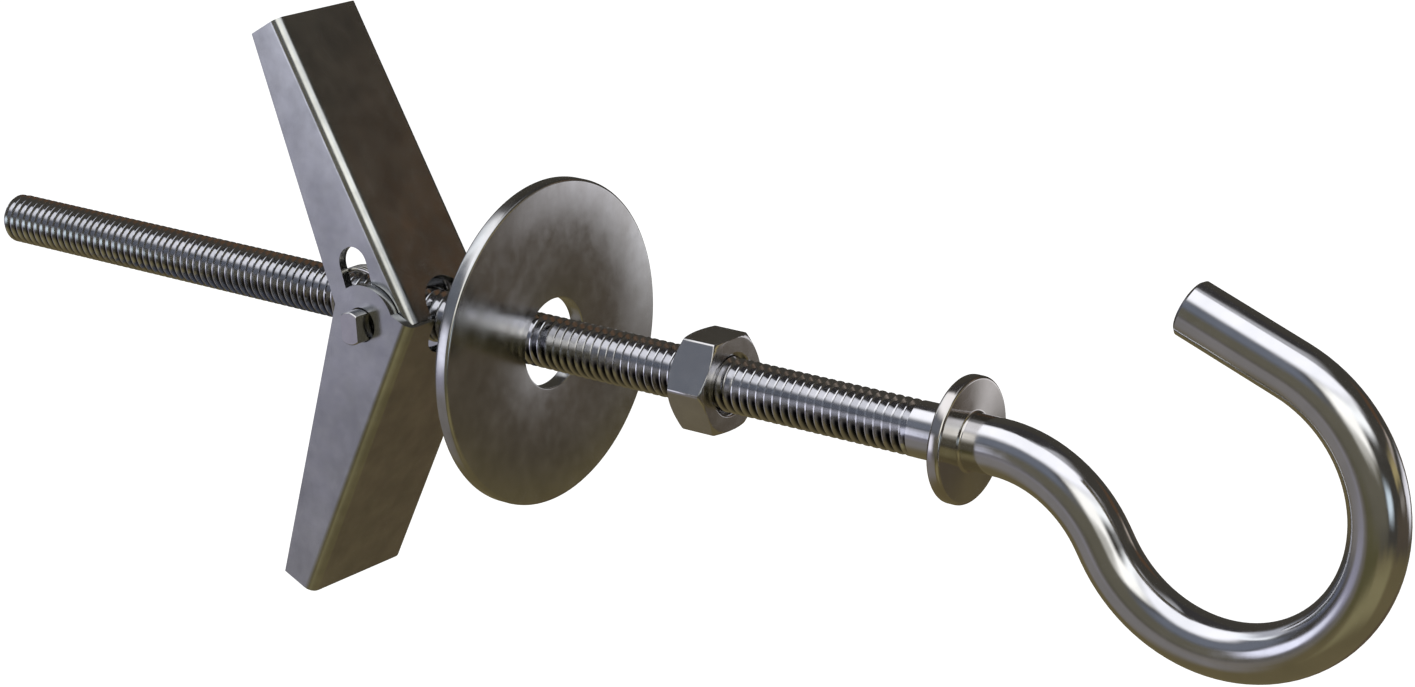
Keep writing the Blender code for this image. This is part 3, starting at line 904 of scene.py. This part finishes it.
# %% The room
WALL_BROWN = "#47443e"
CARDS = (
    # name, direction, half width, height, half height, softness (all in degrees), colour, strength
    ("brown_floor", 40, 200, -61, 39, 6, "#6e6448", 1.0),
    ("brown_skirting", 50, 50, -12, 9, 5, "#574e43", 1.0),
    ("olive_floor", -46, 38, -38, 13, 9, "#8c8461", 1.0),
    ("dark_rug", -82, 22, -22, 9, 7, "#5c583c", 1.0),
    ("grey_floor", -142, 33, -35, 19, 12, "#868280", 1.0),
    ("high_ceiling", 0, 200, 90, 26, 12, "#d8d8dc", 0.8),
    ("white_ceiling", -92, 106, 75, 30, 11, "#fafafe", 1.5),
    ("dark_gallery", 112, 48, 66, 18, 6, "#403e3e", 1.0),
    ("pale_curtain", -172, 15, 42, 13, 5, "#f4f8fc", 1.5),
    ("dim_wall", -74, 42, 1, 17, 8, "#6c685a", 1.0),
    ("grey_wall", -118, 38, 29, 13, 9, "#777c87", 1.0),
    ("side_lintel", -28, 30, 38, 8, 6, "#fafcfb", 1.5),
    ("pale_lintel", -52, 18, 30, 13, 7, "#fffdf6", 1.55),
    ("lintel_glow", -55, 12, 13, 5, 6, "#dcd9cf", 0.95),
    ("window_glow", -133, 14, -13, 10, 8, "#a2a0b2", 1.0),
    ("window", -127, 9, 1, 12, 5, "#ebecfc", 1.5),
    ("blue_wall", -178, 18, 2, 16, 7, "#6b6f7e", 1.0),
    ("side_window", 177, 16, 31, 15, 8, "#c0c2ca", 1.0),
    ("small_window", -20, 8, -1, 6, 5, "#dae9f2", 1.3),
    ("brown_wall", 62, 12, 22, 5, 4, "#604a38", 1.0),
    ("brown_rug", 84, 20, -38, 9, 6, "#5e5140", 1.0),
    ("lamp_shade", 25, 12, 11, 6, 5, "#b8a878", 1.0),
    ("pink_wall", 45, 11, 14, 3, 3, "#c0b4a8", 1.0),
    ("low_shelf", 27, 9, -2, 3, 3, "#948d86", 1.0),
    ("pale_step", 68, 10, -10, 5, 6, "#d8d8dc", 2.0),
    ("pale_sill", 59, 12, -5, 5, 4, "#dcdadf", 1.4),
)
UNEVEN_WALLS = 0.12
WALL_PATCH = 0.2
ROOM_DIVISIONS = 5


def within(tree, offset, half, softness):
    """1 where an angle's distance from the middle is less than half, fading to 0."""
    return node(tree, "ShaderNodeMapRange", {"interpolation_type": "SMOOTHSTEP"}, {
        "Value": node(tree, "ShaderNodeMath", {"operation": "ABSOLUTE"}, {0: offset}).outputs[0],
        "From Min": math.radians(half + softness), "From Max": math.radians(half - softness),
    }).outputs[0]


def dot(tree, vector, other):
    """How far a vector goes along another."""
    return node(tree, "ShaderNodeVectorMath", {"operation": "DOT_PRODUCT"}, {
        0: vector, 1: other,
    }).outputs["Value"]


bpy.ops.object.select_all(action="DESELECT")
bpy.ops.mesh.primitive_ico_sphere_add(subdivisions=ROOM_DIVISIONS, radius=ROOM_R, location=(0, 0, 0))
room = named("room_of_cards")
for unseen in ("camera", "diffuse", "transmission", "volume_scatter", "shadow"):
    setattr(room, f"visible_{unseen}", False)
room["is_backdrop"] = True

room_paint, tree = new_tree("card_room")
place = node(tree, "ShaderNodeTexCoord").outputs["Object"]
wobble = node(tree, "ShaderNodeTexNoise", inputs={
    "Vector": place, "Scale": 1 / WALL_PATCH, "Detail": 2.0, "Roughness": 0.5,
}).outputs["Color"]
wobble = node(tree, "ShaderNodeVectorMath", {"operation": "SUBTRACT"}, {
    0: wobble, 1: (0.5, 0.5, 0.5),
}).outputs[0]
direction = node(tree, "ShaderNodeVectorMath", {"operation": "MULTIPLY_ADD"}, {
    0: wobble, 1: (UNEVEN_WALLS, UNEVEN_WALLS, UNEVEN_WALLS), 2: node(
        tree, "ShaderNodeVectorMath", {"operation": "NORMALIZE"}, {0: place}
    ).outputs[0],
}).outputs[0]
direction = node(tree, "ShaderNodeVectorMath", {"operation": "NORMALIZE"}, {0: direction}).outputs[0]
height = node(tree, "ShaderNodeMath", {"operation": "ARCSINE"}, {
    0: dot(tree, direction, (0, 0, 1)),
}).outputs[0]
colour = linear(WALL_BROWN)
for name, towards, half_width, middle, half_height, softness, card_colour, strength in CARDS:
    turn = math.radians(towards)
    aside = node(tree, "ShaderNodeMath", {"operation": "ARCTAN2", "label": name}, {
        0: dot(tree, direction, (-math.sin(turn), math.cos(turn), 0)),
        1: dot(tree, direction, (math.cos(turn), math.sin(turn), 0)),
    }).outputs[0]
    above = node(tree, "ShaderNodeMath", {"operation": "SUBTRACT"}, {
        0: height, 1: math.radians(middle),
    }).outputs[0]
    cover = node(tree, "ShaderNodeMath", {"operation": "MULTIPLY"}, {
        0: within(tree, aside, half_width, softness), 1: within(tree, above, half_height, softness),
    }).outputs[0]
    painted = [c * strength for c in linear(card_colour)[:3]] + [1.0]
    colour = node(tree, "ShaderNodeMix", {"data_type": "RGBA"}, {
        0: cover, 6: colour, 7: painted,
    }).outputs[2]
lit = node(tree, "ShaderNodeEmission", inputs={"Color": colour, "Strength": 1.0})
node(tree, "ShaderNodeOutputMaterial", inputs={"Surface": lit.outputs[0]})
room_paint.cycles.emission_sampling = "NONE"
room.data.materials.append(room_paint)
print(f"room: {len(CARDS)} cards on a ball of {ROOM_R} m")

# %% [markdown]
# ## Lamps
#
# One broad soft lamp overhead gives the floor its shadow and a plain level of light. It is hidden
# from reflections, because the room already holds everything that the metal should show.

# %% Lamps
def soft_lamp(name, location, size, power):
    """A square soft lamp that faces the anchor."""
    bpy.ops.object.light_add(type="AREA", location=location)
    lamp = bpy.context.object
    lamp.name = name
    lamp.data.size = size
    lamp.data.energy = power
    lamp.rotation_euler = (CAMERA_TARGET - lamp.location).to_track_quat("-Z", "Y").to_euler()
    print(f"{name}: {size} m wide, {power} W")
    return lamp


overhead = soft_lamp("overhead_softbox", (-0.1, 0.0, 0.5), 0.4, 1.6)
overhead.visible_glossy = False

bpy.context.scene.view_settings.view_transform = "Standard"

# %% [markdown]
# ## Measure it
#
# This measures how far the finished pieces reach past the frame's own box. The finished
# pieces have to stay inside the frame's own box.

# %% Sizes and the end
visual_low, visual_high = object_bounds()
over = (*(cad_low - visual_low), *(visual_high - cad_high))
print("over the frame's box, mm:", [round(x / MM, 3) for x in over])
